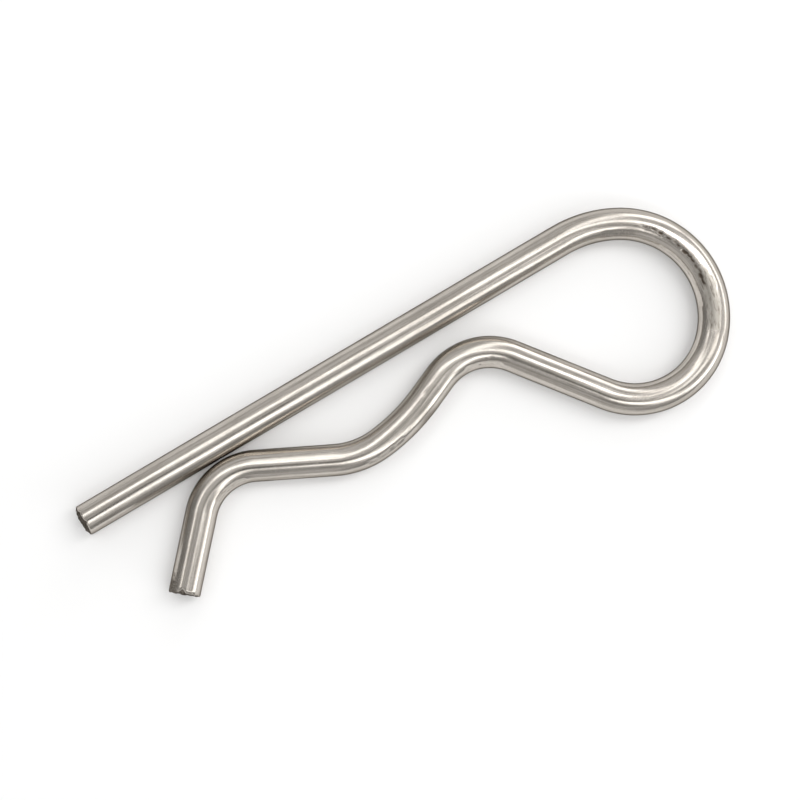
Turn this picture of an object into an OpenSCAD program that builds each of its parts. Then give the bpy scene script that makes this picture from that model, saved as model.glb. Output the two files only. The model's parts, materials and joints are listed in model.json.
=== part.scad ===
// Hitch R clip pin: one length of round spring wire, bent flat.
//
// The straight shank goes through the cross hole of a shaft. The wire then runs
// round a finger eye and comes back as a wavy arm. The shaft is held in the seat
// between the arm's two humps, the second hump bears on the shank, and the tail
// flares away so that the clip can be pushed on.
//
// Frame: the clip lies flat on z = 0. +X runs along the shank towards the eye,
// +Y is the shank's side, and the origin is under the middle of the whole clip.
// Every bend radius is measured to the middle of the wire.

/* [Wire] */
// Diameter of the round wire
wire_d = 3; // [2:0.1:4]

/* [Shank] */
// Straight length from the sheared tip to the start of the eye
shank_l = 51.9; // [42:0.1:62]

/* [Eye] */
// Radius of the gentle bend that leads off the shank
eye_lead_r = 11.2; // [9:0.1:14]
// Turn of the gentle bend, in degrees
eye_lead_turn = 29; // [22:1:36]
// Radius of the round end of the eye
eye_crown_r = 8.7; // [7.2:0.1:10.5]
// Turn of the round end, in degrees
eye_crown_turn = 104; // [95:1:112]
// Radius of the bend that brings the wire back under the shank
eye_heel_r = 7.3; // [6:0.1:9]

/* [Arm] */
// Straight length from the eye to the first hump
back_l = 9.3; // [7.5:0.1:11.5]
// Radius of the first hump
hump_r = 5.7; // [4.5:0.1:7]
// Turn of the first hump, in degrees
hump_turn = 76; // [70:1:82]
// Straight length down from the first hump
slope_l = 2.4; // [1:0.1:4]
// Radius of the shallow side of the shaft seat
seat_side_r = 19; // [15:0.5:23]
// Turn of the shallow side, in degrees
seat_side_turn = 18; // [14:1:22]
// Radius of the tight side of the shaft seat
seat_r = 8.1; // [6.5:0.1:10]
// Turn of the tight side, in degrees
seat_turn = 32; // [28:1:36]
// Straight length from the seat to the second hump
land_l = 7.4; // [6:0.1:9]
// Radius of the second hump, which bears on the shank
bearing_r = 5.5; // [4.5:0.1:7]
// Turn of the second hump, in degrees
bearing_turn = 74; // [60:1:85]
// Straight length of the flared tail
tail_l = 8; // [5:0.1:10]
// Gap left between the second hump and the shank
bearing_gap = 0.1; // [0.05:0.05:0.5]

/* [Sheared ends] */
// How far the slanting break runs along the shank from its tip
shank_break_l = 0.8; // [0.3:0.1:1.5]
// Which way the shank's break faces, in degrees round the wire from straight up
shank_break_roll = -40; // [-90:5:90]
// How far the slanting break runs along the tail
tail_break_l = 0.5; // [0.3:0.1:1.5]
// Which way the tail's break faces
tail_break_roll = 10; // [-90:5:90]
// How deep both breaks reach into the wire
break_depth = 1.4; // [0.5:0.1:1.9]

/* [Hidden] */
$fn = 96;

wire_r = wire_d / 2;

// Stretches that meet only face to face don't join into one solid, so a ball a
// hair wider than the wire goes over each meeting of two. Its roll keeps its seam
// clear of the wire's own seams.
ball_proud = 0.005;
ball_roll = 30;

// A stretch of wire is [length, 0] where it is straight and [radius, turn] where
// it bends. A positive turn bends to the left of the way the wire runs.
to_heel = [
    [shank_l, 0],
    [eye_lead_r, -eye_lead_turn],
    [eye_crown_r, -eye_crown_turn],
];
arm = [
    [back_l, 0],
    [hump_r, hump_turn],
    [slope_l, 0],
    [seat_side_r, -seat_side_turn],
    [seat_r, -seat_turn],
    [land_l, 0],
];
bearing = [bearing_r, bearing_turn];
tail = [tail_l, 0];

// A pose is [x, y, heading] of the wire's middle line.
start = [0, 0, 0];
function along(heading) = [cos(heading), sin(heading)];
function left_of(heading) = [-sin(heading), cos(heading)];
function place(pose) = [pose[0], pose[1]];
function side(bend) = sign(bend[1]);
function centre(pose, bend) = place(pose) + side(bend) * bend[0] * left_of(pose[2]);
function on_bend(pose, bend, turned) =
    centre(pose, bend) - side(bend) * bend[0] * left_of(pose[2] + side(bend) * turned);
function end_point(pose, stretch) =
    stretch[1] == 0
        ? place(pose) + stretch[0] * along(pose[2])
        : on_bend(pose, stretch, abs(stretch[1]));
function after(pose, stretch) = concat(end_point(pose, stretch), [pose[2] + stretch[1]]);
function poses(first, stretches) = [
    for (i = 0, pose = first; i <= len(stretches);
         pose = i < len(stretches) ? after(pose, stretches[i]) : pose, i = i + 1)
        pose
];
function last(list) = list[len(list) - 1];

// The heel turns just far enough for the second hump to bear on the shank. An
// end heading h puts that hump's centre at y = heel_centre y + reach * cos(h - lag).
heel_pose = last(poses(start, to_heel));
heel_centre = centre(heel_pose, [eye_heel_r, -1]);
arm_to_bearing = centre(last(poses(start, arm)), bearing);
reach = norm([eye_heel_r + arm_to_bearing[1], arm_to_bearing[0]]);
lag = atan2(arm_to_bearing[0], eye_heel_r + arm_to_bearing[1]);
bearing_centre_y = -(wire_d + bearing_gap + bearing_r);
heel_end_heading = lag + acos((bearing_centre_y - heel_centre[1]) / reach) - 360;
heel = [eye_heel_r, heel_end_heading - heel_pose[2]];

stretches = concat(to_heel, [heel], arm, [bearing, tail]);
wire_poses = poses(start, stretches);
tail_end = last(wire_poses);

// Overall size, from a point on the middle line at each degree of each bend
bend_line = [
    for (i = [0 : len(stretches) - 1])
        for (turned = [0 : abs(stretches[i][1])])
            if (stretches[i][1] != 0) on_bend(wire_poses[i], stretches[i], turned)
];
tail_left = place(tail_end) + wire_r * left_of(tail_end[2]);
tail_right = place(tail_end) - wire_r * left_of(tail_end[2]);
x_low = min(start[0], tail_right[0]);
x_high = max([for (p = bend_line) p[0]]) + wire_r;
y_low = min(min([for (p = bend_line) p[1]]) - wire_r, tail_left[1]);
middle = [(x_low + x_high) / 2, (wire_r + y_low) / 2];

// A straight stretch from a pose
module bar(pose, l) {
    translate(place(pose)) rotate([0, 0, pose[2]]) rotate([0, 90, 0])
        cylinder(r = wire_r, h = l);
}

// The ball over the meeting of two stretches at a pose
module ball(pose) {
    translate(place(pose)) rotate([0, 0, pose[2]]) rotate([0, 90, 0])
        rotate([0, 0, ball_roll]) sphere(r = wire_r + ball_proud);
}

// A bend from a pose: its lower angle round its centre is where the sweep starts
module bow(pose, bend) {
    low_angle = pose[2] + min(0, bend[1]) - side(bend) * 90;
    translate(centre(pose, bend)) rotate([0, 0, low_angle])
        rotate_extrude(angle = abs(bend[1])) translate([bend[0], 0]) circle(r = wire_r);
}

// The whole wire on its middle line's plane, from the shank's tip
module wire() {
    for (i = [0 : len(stretches) - 1]) {
        union() {
            if (i > 0) ball(wire_poses[i]);
            if (stretches[i][1] == 0) bar(wire_poses[i], stretches[i][0]);
            else bow(wire_poses[i], stretches[i]);
        }
    }
}

// What a slanting break takes off an end at the origin, for wire along +X. It
// faces straight up before it is rolled.
module shear_break(l, roll) {
    slant = atan2(l, break_depth);
    rotate([roll, 0, 0]) translate([0, 0, wire_r - break_depth]) rotate([0, slant, 0])
        translate([-wire_d, -wire_d, -wire_d]) cube([wire_d, 2 * wire_d, 4 * wire_d]);
}

module r_clip() {
    color([0.5, 0.48, 0.45]) translate([-middle[0], -middle[1], wire_r]) difference() {
        wire();
        shear_break(shank_break_l, shank_break_roll);
        translate(place(tail_end)) rotate([0, 0, tail_end[2] + 180])
            shear_break(tail_break_l, tail_break_roll);
    }
}

r_clip();
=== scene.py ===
"""Hitch R clip pin: one length of satin stainless spring wire, bent flat, with both ends sheared."""

import json
import math

import bpy
import numpy as np
from mathutils import Matrix, Vector


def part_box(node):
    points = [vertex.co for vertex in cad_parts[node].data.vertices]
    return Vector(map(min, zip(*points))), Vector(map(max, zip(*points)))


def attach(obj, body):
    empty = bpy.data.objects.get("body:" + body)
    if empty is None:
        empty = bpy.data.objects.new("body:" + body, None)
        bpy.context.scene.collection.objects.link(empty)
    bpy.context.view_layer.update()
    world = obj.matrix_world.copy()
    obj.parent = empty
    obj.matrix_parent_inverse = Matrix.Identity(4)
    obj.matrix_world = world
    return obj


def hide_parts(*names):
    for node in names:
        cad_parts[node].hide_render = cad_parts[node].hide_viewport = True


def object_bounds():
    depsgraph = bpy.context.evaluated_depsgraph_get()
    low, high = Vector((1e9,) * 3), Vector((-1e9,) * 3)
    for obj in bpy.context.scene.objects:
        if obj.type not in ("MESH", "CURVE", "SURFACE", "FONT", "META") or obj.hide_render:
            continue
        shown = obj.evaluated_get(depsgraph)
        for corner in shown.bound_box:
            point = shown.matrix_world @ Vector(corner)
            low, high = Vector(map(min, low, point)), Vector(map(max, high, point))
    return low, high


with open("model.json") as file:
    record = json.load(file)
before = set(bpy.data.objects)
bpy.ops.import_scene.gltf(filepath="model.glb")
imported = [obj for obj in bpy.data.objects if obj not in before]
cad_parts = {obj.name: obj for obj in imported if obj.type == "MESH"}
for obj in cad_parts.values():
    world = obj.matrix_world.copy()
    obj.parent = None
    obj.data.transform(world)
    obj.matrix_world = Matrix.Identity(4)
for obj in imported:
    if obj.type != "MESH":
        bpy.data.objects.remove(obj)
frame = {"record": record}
cad_low, cad_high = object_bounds()

MM = 0.001
TAU = 2 * math.pi

# ---------------------------------------------------------------------------
# The bent wire's middle line
# ---------------------------------------------------------------------------

mounts = {mount["name"]: mount for mount in frame["record"]["mounts"]}
clip_low, clip_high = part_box("r_clip")
WIRE_R = mounts["shank"]["dims"]["r_mm"]
SHANK_L = mounts["shank"]["dims"]["length_mm"]
TIP = complex(clip_low.x, mounts["shank"]["pos_m"][1]) / MM

# A stretch is (length, 0) where the wire is straight and (radius, turn) where it bends. A
# positive turn bends to the left of the way that the wire runs. Millimetres and degrees.
TO_HEEL = [(SHANK_L, 0), (11.2, -29), (8.7, -104)]
HEEL_R = 7.3
ARM = [(9.3, 0), (5.7, 76), (2.4, 0), (19, -18), (8.1, -32), (7.4, 0)]
BEARING = (5.5, 74)
BEARING_GAP = 0.1
TAIL = (8, 0)


class MiddleLine:
    """Straight stretches and plain bends, one after another, from a place and a heading of 0."""

    def __init__(self, start, stretches):
        self.starts = [0.0]
        self.places = [start]
        self.headings = [0.0]
        self.curves = []
        for size, degrees in stretches:
            turn = math.radians(degrees)
            run = size * abs(turn) if turn else size
            self.curves.append(turn / run)
            end = self.starts[-1] + run
            place, heading = self.at(np.array([end]))
            self.starts.append(end)
            self.places.append(complex(place[0]))
            self.headings.append(float(heading[0]))
        self.length = self.starts[-1]

    def at(self, length):
        """The place, as x + iy, and the heading at lengths along the wire."""
        last = len(self.curves) - 1
        i = np.clip(np.searchsorted(self.starts, length, side="right") - 1, 0, last)
        run = length - np.take(self.starts, i)
        first = np.take(self.headings, i)
        curve = np.take(self.curves, i)
        heading = first + curve * run
        bends = np.abs(curve) > 1e-9
        per_turn = np.where(bends, curve, 1)
        round_a_bend = (np.exp(1j * heading) - np.exp(1j * first)) / (1j * per_turn)
        moved = np.where(bends, round_a_bend, run * np.exp(1j * first))
        return np.take(self.places, i) + moved, heading


def heel_turn():
    """How far the heel turns, in degrees, for the second hump to bear on the shank."""
    to_heel = MiddleLine(0, TO_HEEL)
    heading = to_heel.headings[-1]
    heel_centre = to_heel.places[-1] - 1j * HEEL_R * np.exp(1j * heading)
    arm = MiddleLine(0, ARM)
    bearing_centre = arm.places[-1] + 1j * BEARING[0] * np.exp(1j * arm.headings[-1])
    reach = bearing_centre + 1j * HEEL_R
    drop = -(2 * WIRE_R + BEARING_GAP + BEARING[0]) - heel_centre.imag
    end_heading = math.atan2(reach.real, reach.imag) + math.acos(drop / abs(reach)) - TAU
    return math.degrees(end_heading - heading)


wire = MiddleLine(TIP, TO_HEEL + [(HEEL_R, heel_turn())] + ARM + [BEARING, TAIL])
EYE_START = wire.starts[1]
CROWN_START = wire.starts[2]
HEEL_START = wire.starts[3]
BACK_START = wire.starts[4]
HUMP_START = wire.starts[5]
SLOPE_START = wire.starts[6]
SEAT_START = wire.starts[7]
LAND_START = wire.starts[9]
BEARING_START = wire.starts[10]
TAIL_START = wire.starts[11]

# ---------------------------------------------------------------------------
# The wire's skin, worked out on the straight wire before it is bent
# ---------------------------------------------------------------------------

ROUND_CELLS = 96
ROUND = np.arange(ROUND_CELLS) * TAU / ROUND_CELLS  # 0 is straight up, a quarter turn is left
END_ZONE = 2.4
END_STEP = 0.045
EYE_STEP = 0.085
BEND_STEP = 0.12
STRAIGHT_STEP = 0.3


def smooth(x):
    x = np.clip(x, 0, 1)
    return x * x * (3 - 2 * x)


def window(x, start, end, ease):
    """1 between start and end, easing to 0 outside over ease."""
    return smooth((x - start) / ease + 1) * smooth((end - x) / ease + 1)


def turned_from(angle, degrees):
    """Angles measured from a place round the wire, between minus and plus half a turn."""
    return np.angle(np.exp(1j * (angle - np.radians(degrees))))


def mottle(seed, along, angle, step, cells):
    """Smooth seeded heights from -1 to 1: a value every step along, and cells of them round."""
    rows = int(wire.length / step) + 6
    values = np.random.default_rng(seed).uniform(-1, 1, (rows, cells))
    row = np.clip(along / step + 2, 0, rows - 2.001)
    column = np.mod(angle / TAU, 1) * cells
    i = np.floor(row).astype(int)
    j = np.floor(column).astype(int)
    u = smooth(row - i)
    v = smooth(column - j)
    j = j % cells
    k = (j + 1) % cells
    near = values[i, j] * (1 - v) + values[i, k] * v
    far = values[i + 1, j] * (1 - v) + values[i + 1, k] * v
    return near * (1 - u) + far * u


def ring_lengths():
    """Where the rings go: close at the two ends, then in the eye, then round the other bends."""
    marks = [np.arange(0, END_ZONE, END_STEP)]
    edges = [END_ZONE] + wire.starts[1:-1] + [wire.length - END_ZONE]
    for start, end, curve in zip(edges[:-1], edges[1:], wire.curves):
        step = BEND_STEP if curve else STRAIGHT_STEP
        if start == CROWN_START:
            step = EYE_STEP
        marks.append(np.linspace(start, end, round((end - start) / step), endpoint=False))
    marks.append(wire.length - np.arange(0, END_ZONE + END_STEP / 2, END_STEP)[::-1])
    return np.concatenate(marks)


# Flats that the bending tools pressed: from and to along the wire, angle round it from the
# top in degrees (left is positive) and depth.
TOOL_FLATS = [
    (CROWN_START - 1.6, CROWN_START + 3.4, -41, 0.050),
    (CROWN_START + 4.6, CROWN_START + 12.5, -58, 0.040),
    (HEEL_START + 1.0, HEEL_START + 4.5, -66, 0.030),
    (HUMP_START + 1.0, HUMP_START + 4.9, 50, 0.070),
    (SEAT_START + 4.2, SEAT_START + 7.6, 44, 0.045),
    (BEARING_START + 1.4, BEARING_START + 5.2, 50, 0.065),
    (BEARING_START - 4.5, BEARING_START - 1.5, 62, 0.030),
]

# Small knocks: length along the wire, angle round it, size and depth.
NICKS = [
    (13.6, -52, 0.30, 0.024),
    (22.4, 16, 0.24, 0.012),
    (29.9, -4, 0.26, 0.012),
    (41.5, 38, 0.24, 0.012),
    (HUMP_START + 2.1, 20, 0.26, 0.016),
    (SLOPE_START + 2.0, -12, 0.34, 0.018),
    (SEAT_START - 0.3, 34, 0.26, 0.016),
    (LAND_START + 4.4, 51, 0.26, 0.016),
]

# Pits that the eye's former tore along its ledge, in the same terms.
PITS = [
    (CROWN_START + 3.3, -3, 0.20, 0.030),
    (CROWN_START + 4.0, -7, 0.26, 0.050),
    (CROWN_START + 5.6, -9, 0.20, 0.035),
    (CROWN_START + 6.9, -15, 0.30, 0.075),
    (CROWN_START + 7.6, -13, 0.18, 0.035),
    (CROWN_START + 8.7, -17, 0.24, 0.045),
    (CROWN_START + 9.7, -20, 0.30, 0.060),
]

# Dark patches, stains and painted shade: length along the wire, angle round it and size, then strength.
STAINS_AND_PAINTED_SHADE = [
    ((SEAT_START + 1.2, 56, 0.9), 0.8),
    # A painted dark reflection at the start of the eye, not a stain.
    ((CROWN_START + 1.0, -24, 1.1), 0.35),
    # Partly a stain, partly painted shade on the shaded side of the tail's end.
    ((TAIL_START + 6.9, -50, 0.8), 0.5),
]

# Marks are this much longer along the wire than round it.
MARK_STRETCH = 1.7

# The ledge that the eye's former bit: from and to along the wire, the angle at which its torn
# border starts and how many degrees it drops a millimetre, the step's depth and how many
# degrees it takes to run out. The border's dark lip lies a little below it.
LEDGE = (CROWN_START + 2.6, CROWN_START + 10.6)
LEDGE_TOP = -2
LEDGE_DROP = 1.6
LEDGE_DEPTH = 0.045
LEDGE_WIDTH = 40
LIP_BELOW = 3
LIP_WIDTH = 5.5

# The stretch past the ledge that the former rubbed dull, and the angle of its middle.
DRAGGED = (CROWN_START + 9.6, CROWN_START + 14.6)
DRAGGED_MIDDLE = -7

# The skin lies this far inside the wire's full radius, so that its waves stay under it.
SKIN_ROOM = 0.006


def dent(along, angle, place):
    """1 in the middle of a small round mark, falling to 0 at its size."""
    length, degrees, size = place
    apart = np.hypot((along - length) / MARK_STRETCH, WIRE_R * turned_from(angle, degrees))
    return smooth(1 - apart / size)


def ledge_border(along):
    """The angle of the ledge's torn upper border, in degrees."""
    teeth = 3.0 * mottle(24, along, 0 * along, 0.24, 1)
    waves = 2.2 * mottle(25, along, 0 * along, 0.9, 1)
    return LEDGE_TOP - LEDGE_DROP * (along - LEDGE[0]) + (teeth + waves)


def below_border(along, angle):
    """Degrees round the wire from the ledge's torn border, towards its lower side."""
    return ledge_border(along) - np.degrees(turned_from(angle, 0))


def ledge(along, angle):
    """The step that the eye's former bit: 1 just inside its torn border, 0 at its lower side."""
    inside = below_border(along, angle)
    step = smooth(inside / 3.5) * np.clip(1 - inside / LEDGE_WIDTH, 0, 1)
    return step * window(along, LEDGE[0], LEDGE[1], 0.9)


def torn_lip(along, angle):
    """The ragged dark line that follows the ledge's border."""
    line = smooth(1.3 - np.abs(below_border(along, angle) - LIP_BELOW) / LIP_WIDTH)
    strength = np.clip(0.60 + 0.65 * mottle(26, along, 0 * angle, 0.4, 1), 0, 1)
    return line * strength * window(along, LEDGE[0], LEDGE[1], 0.5)


def dragged_skin(along, angle):
    """Where the former rubbed the skin dull past the ledge: 1 where it is dullest."""
    across = np.abs(turned_from(angle, DRAGGED_MIDDLE)) + 0.12 * mottle(21, along, angle, 0.5, 24)
    return smooth((0.56 - across) / 0.22) * window(along, DRAGGED[0], DRAGGED[1], 1.0)


def tool_flats(along, angle, radius):
    """The radius after the flats: each is a chord across the wire, ragged at its borders."""
    ragged = mottle(11, along, angle, 0.35, 40)
    for start, end, degrees, depth in TOOL_FLATS:
        depth_here = depth * window(along, start, end, 0.5) * (1 + 0.25 * ragged)
        facing = np.cos(angle - math.radians(degrees))
        chord = (WIRE_R - depth_here) / np.maximum(facing, 0.2)
        radius = np.where(facing > 0.5, np.minimum(radius, chord), radius)
    return radius


def skin_radius(along, angle):
    """The wire's radius at places on its straight skin, in mm. Nothing stands above WIRE_R."""
    drawn = 0.0030 * mottle(1, along, angle, 12.0, 24) + 0.0012 * mottle(2, along, angle, 2.0, 20)
    radius = WIRE_R - SKIN_ROOM + drawn
    radius = tool_flats(along, angle, radius)
    radius = radius - LEDGE_DEPTH * ledge(along, angle)
    rubbed = 0.6 * mottle(22, along, angle, 1.1, 44) + 0.4 * mottle(23, along, angle, 0.4, 60)
    radius = radius - dragged_skin(along, angle) * (0.008 + 0.007 * rubbed)
    for *place, depth in NICKS + PITS:
        radius = radius - depth * dent(along, angle, place)
    return radius


def torn_notch(left, up, right_by, half_width, deepening):
    """A notch in the top of a sheared face: 1 where it is deepest."""
    start, run = deepening
    return np.exp(-(((left + right_by) / half_width) ** 2)) * smooth((up - start) / run)


def tip_cut(left, up):
    """How far the shank's sheared face stands in from the wire's very end, in mm."""
    slant = 0.30 * up * (1 - 0.1 * left * left)
    hollow = 0.06 * left * left
    return 0.445 + slant + hollow + 0.12 * torn_notch(left, up, 0.25, 0.20, (0.7, 0.6))


def tail_cut(left, up):
    """How far the tail's sheared face stands in from the wire's very end, in mm."""
    slant = 0.15 * up
    skew = 0.05 * (WIRE_R + left) / WIRE_R
    return 0.225 + slant + skew + 0.34 * torn_notch(left, up, 0.12, 0.26, (0.55, 0.7))


# The two sheared ends: cut, seed of its grain, how far the top rolled over and over what length.
TIP_END = (tip_cut, 31, 0.06, 0.35)
TAIL_END = (tail_cut, 32, 0.10, 0.60)

# How far the rim of an end is rounded in, and over what length.
EDGE_ROUNDING = 0.05
EDGE_LENGTH = 0.14

# Where the rings of an end's face lie, as shares of its rim's radius.
CAP_SHARES = (0.985, 0.96, 0.92, 0.86, 0.79, 0.71, 0.62, 0.53, 0.44, 0.35, 0.26, 0.17, 0.08)


def end_face(cut, seed, left, up):
    """A sheared face with the grain of the break on it."""
    angle = np.arctan2(left, up)
    reach = np.hypot(left, up)
    grain = 0.020 * mottle(seed, 40 + 6 * reach, angle, 0.7, 22)
    rim_grain = 0.060 * mottle(seed + 10, 40 + 0 * reach, angle, 1.0, 38)
    grain = grain + rim_grain * smooth(reach / WIRE_R * 2 - 1)
    return np.maximum(cut(left, up) + grain, 0)


def shear_end(angle, radius, from_end, end):
    """The radius near a sheared end, and how far its rings are pushed in from the very end."""
    cut, seed, rolled, roll_length = end
    radius = radius - EDGE_ROUNDING * smooth(1 - from_end / EDGE_LENGTH) ** 2
    radius = radius - rolled * smooth(1 - from_end / roll_length) ** 2 * smooth(np.cos(angle))
    rim = end_face(cut, seed, radius * np.sin(angle), radius * np.cos(angle))
    rim = rim[np.argmin(from_end[:, 0])]
    push = rim * np.clip(1 - from_end / END_ZONE, 0, 1) ** 1.5
    return radius, push


def end_cap(rim_radius, end):
    """Rings of (inward, left, up) that close a sheared end, from the rim to near its middle."""
    cut, seed = end[:2]
    rings = []
    for share in CAP_SHARES:
        left = share * rim_radius * np.sin(ROUND)
        up = share * rim_radius * np.cos(ROUND)
        rings.append(np.stack([end_face(cut, seed, left, up), left, up], axis=-1))
    return np.array(rings)


def straight_wire():
    """The whole skin as rings of (along, left, up) on the straight wire, from tip to tail."""
    lengths = ring_lengths()
    along, angle = np.meshgrid(lengths, ROUND, indexing="ij")
    radius = skin_radius(along, angle)
    radius, tip_push = shear_end(angle, radius, along, TIP_END)
    radius, tail_push = shear_end(angle, radius, wire.length - along, TAIL_END)
    along = along + tip_push - tail_push
    barrel = np.stack([along, radius * np.sin(angle), radius * np.cos(angle)], axis=-1)
    tip_cap = end_cap(radius[0], TIP_END)[::-1]
    tail_cap = end_cap(radius[-1], TAIL_END)
    tail_cap[..., 0] = wire.length - tail_cap[..., 0]
    return np.concatenate([tip_cap, barrel, tail_cap])


def crush_and_shade_skin(from_tail, angle, ragged):
    """The patch beside the tail's end: partly a crush mark from the shears, partly painted shade on the
    tail's shaded side. 1 where it is worst.
    """
    reach = smooth(1.35 - from_tail / 2.0 + 1.6 * ragged)
    return reach * smooth((0.75 - np.abs(turned_from(angle, -58))) / 0.35)


def torn_skin(from_tail, angle, ragged, crush_and_shade):
    """Where the metal is torn: 1 on the two sheared faces, less beside the tail's end, where the patch of
    painted shade there is added too.
    """
    torn = np.zeros(angle.shape)
    torn[: len(CAP_SHARES)] = 1
    torn[-len(CAP_SHARES) :] = 1
    near_tail = smooth(1.25 - from_tail / 0.55 + ragged) * smooth(np.cos(angle) + 0.6)
    return np.maximum(torn, 0.75 * np.maximum(near_tail, crush_and_shade))


def soil_and_shade_skin(along, angle):
    """Where the skin is darkened: soil held in the ledge, along its lip and in the pits, and the stain list,
    which also holds painted shade.
    """
    streaks = 0.65 + 0.35 * mottle(42, along, angle, 1.2, 60)
    soiled = np.maximum(0.40 * ledge(along, angle) ** 2 * streaks, torn_lip(along, angle))
    for *place, depth in PITS:
        soiled = np.maximum(soiled, smooth(1.6 * dent(along, angle, place)) * min(1, depth / 0.05))
    for place, strength in STAINS_AND_PAINTED_SHADE:
        soiled = np.maximum(soiled, strength * dent(along, angle, place) * streaks)
    return soiled


def skin_marks(straight):
    """How torn and how dragged the skin is at each point of the straight wire, and its soil and painted
    shade.
    """
    along = straight[..., 0]
    angle = np.arctan2(straight[..., 1], straight[..., 2])
    from_tail = wire.length - along
    ragged = 0.30 * mottle(41, along, angle, 0.2, 34)
    # The patch beside the tail's end is partly painted shade. It darkens the torn and dragged marks too.
    crush_and_shade = crush_and_shade_skin(from_tail, angle, ragged)
    return {
        "torn": torn_skin(from_tail, angle, ragged, crush_and_shade),
        "dragged": np.maximum(dragged_skin(along, angle), 0.8 * crush_and_shade),
        "soiled": soil_and_shade_skin(along, angle),
    }


def bend_wire(straight):
    """Points of the straight wire, moved to where the bends carry them, in metres."""
    place, heading = wire.at(straight[..., 0])
    place = place + 1j * np.exp(1j * heading) * straight[..., 1]
    return np.stack([place.real, place.imag, straight[..., 2] + WIRE_R], axis=-1) * MM


def skin_faces(rows):
    """Faces that look outwards: four-sided between the rings, and a fan round each end's middle."""
    column = np.arange(ROUND_CELLS)
    beside = (column + 1) % ROUND_CELLS
    bands = []
    for row in range(rows - 1):
        here = row * ROUND_CELLS
        there = here + ROUND_CELLS
        bands.append(np.stack([here + column, there + column, there + beside, here + beside], axis=-1))
    tip_middle = rows * ROUND_CELLS
    tail_middle = tip_middle + 1
    last_row = tip_middle - ROUND_CELLS
    fans = [(int(a), int(b), tip_middle) for a, b in zip(column, beside)]
    fans += [(last_row + int(b), last_row + int(a), tail_middle) for a, b in zip(column, beside)]
    return np.concatenate(bands).tolist() + fans


def wire_mesh(name):
    """The bent wire's mesh, with its unbent places and its marks kept for the material."""
    straight = straight_wire()
    middles = straight[[0, -1]].mean(axis=1)
    places = np.concatenate([straight.reshape(-1, 3), middles])
    mesh = bpy.data.meshes.new(name)
    mesh.from_pydata(bend_wire(places).tolist(), [], skin_faces(len(straight)))
    mesh.shade_smooth()
    unbent = mesh.attributes.new("unbent", "FLOAT_VECTOR", "POINT")
    unbent.data.foreach_set("vector", places.astype(np.float32).ravel())
    for mark, values in skin_marks(straight).items():
        layer = mesh.attributes.new(mark, "FLOAT", "POINT")
        at_points = np.concatenate([values.ravel(), values[[0, -1]].mean(axis=1)])
        layer.data.foreach_set("value", at_points.astype(np.float32))
    mesh.validate()
    return mesh


# ---------------------------------------------------------------------------
# Shader maths
# ---------------------------------------------------------------------------


class Value:
    """A shader socket that takes part in Python arithmetic."""

    def __init__(self, nodes, socket):
        self.nodes = nodes
        self.socket = socket

    def math(self, operation, *others):
        made = self.nodes.add("ShaderNodeMath", {"operation": operation}, self, *others)
        return made.out()

    def __add__(self, other):
        return self.math("ADD", other)

    __radd__ = __add__

    def __mul__(self, other):
        return self.math("MULTIPLY", other)

    __rmul__ = __mul__

    def __sub__(self, other):
        return self.math("SUBTRACT", other)

    def __rsub__(self, other):
        return (self * -1) + other

    def __pow__(self, other):
        return self.math("POWER", other)

    def clamped(self):
        return self.math("MAXIMUM", 0.0).math("MINIMUM", 1.0)

    def between(self, low, high):
        """0 at low and 1 at high, eased."""
        made = self.nodes.add(
            "ShaderNodeMapRange",
            {"interpolation_type": "SMOOTHSTEP"},
            Value=self,
            **{"From Min": low, "From Max": high},
        )
        return made.out()


class Made:
    """A node that was just added."""

    def __init__(self, nodes, node):
        self.nodes = nodes
        self.node = node

    def out(self, name=0):
        return Value(self.nodes, self.node.outputs[name])


class Nodes:
    """The node tree of a material or of the world."""

    def __init__(self, owner):
        owner.use_nodes = True
        self.tree = owner.node_tree
        self.tree.nodes.clear()

    def add(self, kind, settings=None, *inputs, **named):
        """Adds a node: its settings first, then its sockets by order and by name."""
        node = self.tree.nodes.new(kind)
        for key, setting in (settings or {}).items():
            setattr(node, key, setting)
        for key, value in [*enumerate(inputs), *named.items()]:
            if isinstance(value, Value):
                self.tree.links.new(value.socket, node.inputs[key])
            else:
                node.inputs[key].default_value = value
        return Made(self, node)

    def tint(self, factor, first, second):
        """A colour from first to second as factor goes from 0 to 1."""
        node = self.tree.nodes.new("ShaderNodeMix")
        node.data_type = "RGBA"
        for key, value in ((0, factor), (6, first), (7, second)):
            if isinstance(value, Value):
                self.tree.links.new(value.socket, node.inputs[key])
            else:
                node.inputs[key].default_value = value
        return Value(self, node.outputs[2])


# ---------------------------------------------------------------------------
# The finish of the wire
# ---------------------------------------------------------------------------

LIGHT_STEEL = (0.620, 0.580, 0.531, 1)
GREY_STEEL = (0.450, 0.415, 0.373, 1)
RUBBED_STEEL = (0.260, 0.246, 0.216, 1)
TORN_STEEL = (0.120, 0.104, 0.088, 1)
PALE_TORN_STEEL = (0.340, 0.312, 0.280, 1)
# Dark soil colour, also used for painted shade and a painted dark reflection.
SOIL_AND_SHADE_COLOUR = (0.095, 0.076, 0.060, 1)
EDGE_TINT = (0.06, 0.056, 0.052, 1)
SATIN_ROUGHNESS = 0.205
RELIEF_DEPTH = 0.0000024


def drawn_noise(nodes, place, along, across, detail=2.0, roughness=0.5):
    """Noise drawn out along the straight wire. Its lengths along and across are in mm."""
    scale = (1 / along, 1 / across, 1 / across)
    stretched = nodes.add("ShaderNodeVectorMath", {"operation": "MULTIPLY"}, place, scale)
    made = nodes.add(
        "ShaderNodeTexNoise",
        {"noise_dimensions": "3D"},
        Vector=stretched.out(),
        Scale=1.0,
        Detail=detail,
        Roughness=roughness,
    )
    return made.out()


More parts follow.
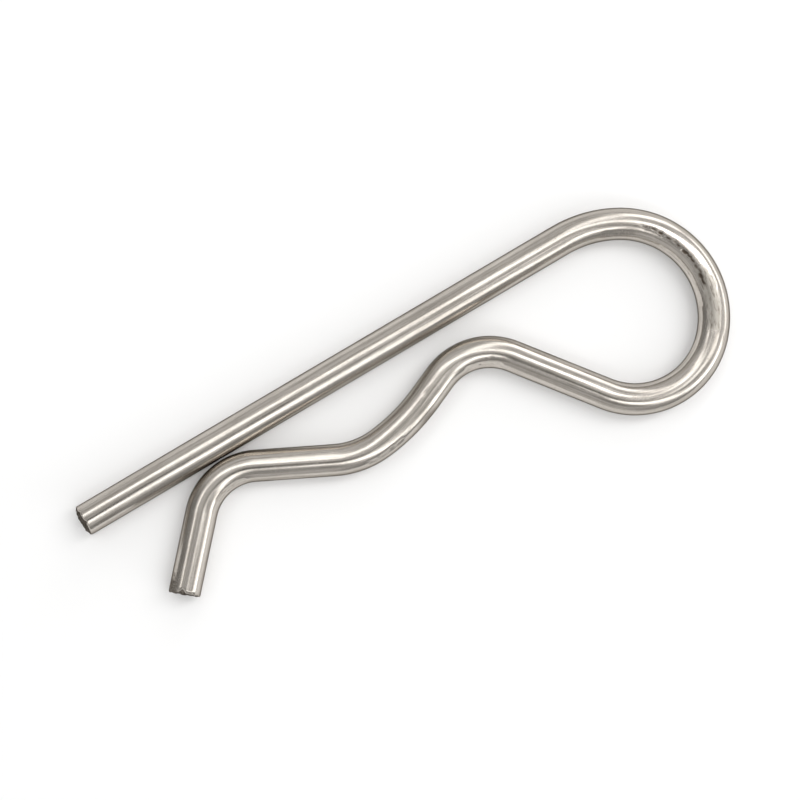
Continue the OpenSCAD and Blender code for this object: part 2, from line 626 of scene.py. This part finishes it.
class WireSkin:
    """What the finish is mixed from: the wire's marks, and the grains of drawn steel."""

    def __init__(self, nodes):
        self.nodes = nodes
        place = nodes.add("ShaderNodeAttribute", {"attribute_name": "unbent"}).out("Vector")
        self.torn = nodes.add("ShaderNodeAttribute", {"attribute_name": "torn"}).out("Fac")
        self.dragged = nodes.add("ShaderNodeAttribute", {"attribute_name": "dragged"}).out("Fac")
        self.soiled = nodes.add("ShaderNodeAttribute", {"attribute_name": "soiled"}).out("Fac")
        self.broad_lines = drawn_noise(nodes, place, 14.0, 0.30)
        self.die_lines = drawn_noise(nodes, place, 6.0, 0.10, 3.0, 0.6)
        self.short_lines = drawn_noise(nodes, place, 0.9, 0.09, 2.0, 0.6)
        self.cloud = drawn_noise(nodes, place, 3.0, 0.9, 3.0)
        self.grit = drawn_noise(nodes, place, 0.16, 0.11, 2.0, 0.6)
        self.break_grain = drawn_noise(nodes, place, 0.14, 0.14, 3.0, 0.6)
        self.drag_lines = drawn_noise(nodes, place, 0.9, 0.12, 2.0, 0.6)
        self.specks = self.grit.between(0.62, 0.74) * 0.45

    def colour(self):
        """Light and grey steel in lines, duller where rubbed, darker where soil lies, where shade is painted
        and where torn.
        """
        tint = self.nodes.tint
        lines = self.broad_lines * 0.35 + self.die_lines * 0.35
        paleness = lines + self.cloud * 0.15 + self.short_lines * 0.15
        steel = tint(paleness.between(0.58, 0.40), LIGHT_STEEL, GREY_STEEL)
        steel = tint(self.dragged * 0.55, steel, RUBBED_STEEL)
        # Soil, and painted shade: a painted dark reflection at the eye's start and painted shade beside the
        # tail's end.
        steel = tint(self.specks + self.soiled * (1 - self.specks), steel, SOIL_AND_SHADE_COLOUR)
        rubbed_marks = self.drag_lines.between(0.52, 0.64) * self.dragged * 0.60
        steel = tint(rubbed_marks, steel, SOIL_AND_SHADE_COLOUR)
        torn_steel = tint(self.break_grain.between(0.42, 0.62), TORN_STEEL, PALE_TORN_STEEL)
        return tint(self.torn, steel, torn_steel)

    def roughness(self):
        """Satin, with die lines and clouds in it, duller at every mark."""
        lines = (self.die_lines - 0.5) * 0.12 + (self.cloud - 0.5) * 0.08
        satin = SATIN_ROUGHNESS + lines + self.specks * 0.2
        rubbed = self.dragged * (0.06 + 0.24 * self.drag_lines)
        return satin + rubbed + self.torn * 0.25 + self.soiled * 0.25

    def relief(self):
        """How deep the die lines, the drag marks and the break's grain are cut in."""
        lines = self.broad_lines + self.die_lines + self.short_lines * 0.7 + self.grit * 0.35
        break_grain = self.break_grain * self.torn * 14
        drag = self.drag_lines * self.dragged * 5
        return lines * (1 - self.torn) + break_grain + drag


def satin_stainless():
    """Drawn stainless wire: die lines along it, duller where tools dragged, dark where torn."""
    material = bpy.data.materials.new("satin_drawn_stainless")
    nodes = Nodes(material)
    skin = WireSkin(nodes)
    bump = nodes.add(
        "ShaderNodeBump",
        {"invert": True},
        Strength=1.0,
        Distance=RELIEF_DEPTH,
        Height=skin.relief(),
    )
    steel_shader = nodes.add(
        "ShaderNodeBsdfPrincipled",
        {"distribution": "MULTI_GGX"},
        **{
            "Base Color": skin.colour(),
            "Metallic": 1.0,
            "Roughness": skin.roughness(),
            "Specular Tint": EDGE_TINT,
            "Normal": bump.out("Normal"),
        },
    )
    nodes.add("ShaderNodeOutputMaterial", None, Surface=steel_shader.out("BSDF"))
    return material


# ---------------------------------------------------------------------------
# The clip
# ---------------------------------------------------------------------------

clip = bpy.data.objects.new("r_clip_wire", wire_mesh("r_clip_wire"))
bpy.context.scene.collection.objects.link(clip)
clip.data.materials.append(satin_stainless())
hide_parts("r_clip")
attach(clip, "root")

# ---------------------------------------------------------------------------
# Floor
# ---------------------------------------------------------------------------

FLOOR_HALF = 1.2
FLOOR_LIFT = 0.10
PAPER = (0.94, 0.94, 0.94, 1)


def white_floor():
    """White paper that keeps a soft shadow, lifted a little towards plain white where it is seen."""
    material = bpy.data.materials.new("white_paper")
    nodes = Nodes(material)
    path = nodes.add("ShaderNodeLightPath")
    seen = path.out("Is Camera Ray") + path.out("Is Glossy Ray") + path.out("Is Transmission Ray")
    paper = nodes.add("ShaderNodeBsdfDiffuse", None, Color=PAPER)
    white = nodes.add("ShaderNodeEmission", None, Color=(1, 1, 1, 1), Strength=1.0)
    lift = seen.clamped() * FLOOR_LIFT
    both = nodes.add("ShaderNodeMixShader", None, lift, paper.out(), white.out())
    nodes.add("ShaderNodeOutputMaterial", None, Surface=both.out())
    return material


floor_mesh = bpy.data.meshes.new("floor")
corners = [(-1, -1), (1, -1), (1, 1), (-1, 1)]
floor_mesh.from_pydata([(x * FLOOR_HALF, y * FLOOR_HALF, cad_low.z) for x, y in corners], [], [(0, 1, 2, 3)])
floor = bpy.data.objects.new("floor", floor_mesh)
bpy.context.scene.collection.objects.link(floor)
floor.data.materials.append(white_floor())

# ---------------------------------------------------------------------------
# Camera: straight above the clip, turned so that the shank rises to the right
# ---------------------------------------------------------------------------

VIEW_TURN = math.radians(-30.5)
VIEW_CENTRE = Vector((-0.06, 3.40, 0)) * MM
VIEW_WIDTH = 74.3 * MM
LENS = 100
SENSOR = 36

camera_data = bpy.data.cameras.new("camera")
camera_data.lens = LENS
camera_data.sensor_width = SENSOR
camera_data.clip_start = 0.01
camera_data.clip_end = 5
camera = bpy.data.objects.new("camera", camera_data)
bpy.context.scene.collection.objects.link(camera)
height_over_wire = VIEW_WIDTH * LENS / SENSOR
camera.location = VIEW_CENTRE + Vector((0, 0, height_over_wire + WIRE_R * MM))
camera.rotation_euler = (0, 0, VIEW_TURN)
bpy.context.scene.camera = camera

# ---------------------------------------------------------------------------
# Light
# ---------------------------------------------------------------------------

LAMP_DISTANCE = 0.6

# Soft strips: the two ends as degrees to the view's right and up of overhead, half the width
# in degrees as seen from the clip, and how much brighter than the room the strip looks.
LAMPS = {
    "strip_left": ((-37, -6), (-34, 17), 5, 1.7),
    "strip_overhead": ((-31, 26), (6, 12), 5, 2.0),
    "strip_above": ((-6, 25), (5, 57), 5, 1.7),
    "strip_top": ((7, 60), (54, 70), 8, 1.9),
    "strip_far": ((60, 62), (86, -8), 9, 1.9),
    "strip_right": ((78, -12), (42, -42), 8, 2.2),
    "strip_lower": ((38, -43), (-2, -23), 5.5, 2.2),
    "panel_inner": ((12, 14), (50, 26), 8, 4.6),
    "panel_low": ((44, -4), (13, -5), 5, 1.8),
}


def direction(right, up):
    """The way from the clip to a place so many degrees to the view's right and up of overhead."""
    turn = VIEW_TURN + math.atan2(up, right)
    tilt = math.radians(math.hypot(right, up))
    return Vector((math.sin(tilt) * math.cos(turn), math.sin(tilt) * math.sin(turn), math.cos(tilt)))


def strip_lamp(name, start, end, half_width, brightness):
    """A soft strip that faces the clip. The light is hidden from the camera, not from the metal."""
    out = (direction(*start) + direction(*end)).normalized()
    long_way = (direction(*end) - direction(*start)).normalized()
    short_way = out.cross(long_way)
    lamp = bpy.data.lights.new(name, "AREA")
    lamp.shape = "RECTANGLE"
    lamp.size = 2 * LAMP_DISTANCE * math.tan(out.angle(direction(*end)))
    lamp.size_y = 2 * LAMP_DISTANCE * math.tan(math.radians(half_width))
    lamp.energy = brightness * math.pi * lamp.size * lamp.size_y
    holder = bpy.data.objects.new(name, lamp)
    bpy.context.scene.collection.objects.link(holder)
    facing = Matrix((long_way, short_way, out)).transposed().to_4x4()
    holder.matrix_world = Matrix.Translation(VIEW_CENTRE + out * LAMP_DISTANCE) @ facing
    holder.visible_camera = False


for lamp_name, lamp_facts in LAMPS.items():
    strip_lamp(lamp_name, *lamp_facts)

# The room: grey all round, with darker places where nothing is lit: the middle as degrees to
# the right and up of overhead, half the width in degrees and how dark.
ROOM_GREY = 0.62
DARK_PLACES = [
    ((-9, 1), 7, 0.15),
    ((-2, -15), 9, 0.85),
    ((-11, -25), 8, 0.40),
    ((22, 44), 7, 0.30),
    ((28, -20), 7, 0.35),
    ((-3, -49), 12, 0.50),
    ((-30, -20), 20, 0.15),
    ((-72, 10), 24, 0.55),
    ((34, -72), 22, 0.45),
]


def grey_room():
    """The room's light, as it comes from every side of the clip."""
    world = bpy.data.worlds.new("grey_room")
    bpy.context.scene.world = world
    nodes = Nodes(world)
    way = nodes.add("ShaderNodeTexCoord").out("Generated")
    lit = 1.0
    for middle, spread, depth in DARK_PLACES:
        towards = nodes.add("ShaderNodeVectorMath", {"operation": "DOT_PRODUCT"}, way, direction(*middle))
        outer = math.cos(math.radians(spread * 1.3))
        inner = math.cos(math.radians(spread * 0.6))
        lit = lit * (1 - towards.out("Value").between(outer, inner) * depth)
    grey = (ROOM_GREY, ROOM_GREY * 0.995, ROOM_GREY * 0.985, 1)
    dark = nodes.add("ShaderNodeBackground", None, Color=(0, 0, 0, 1), Strength=1.0)
    bright = nodes.add("ShaderNodeBackground", None, Color=grey, Strength=1.0)
    both = nodes.add("ShaderNodeMixShader", None, lit, dark.out(), bright.out())
    nodes.add("ShaderNodeOutputWorld", None, Surface=both.out())


grey_room()

bpy.context.scene.view_settings.view_transform = "Standard"
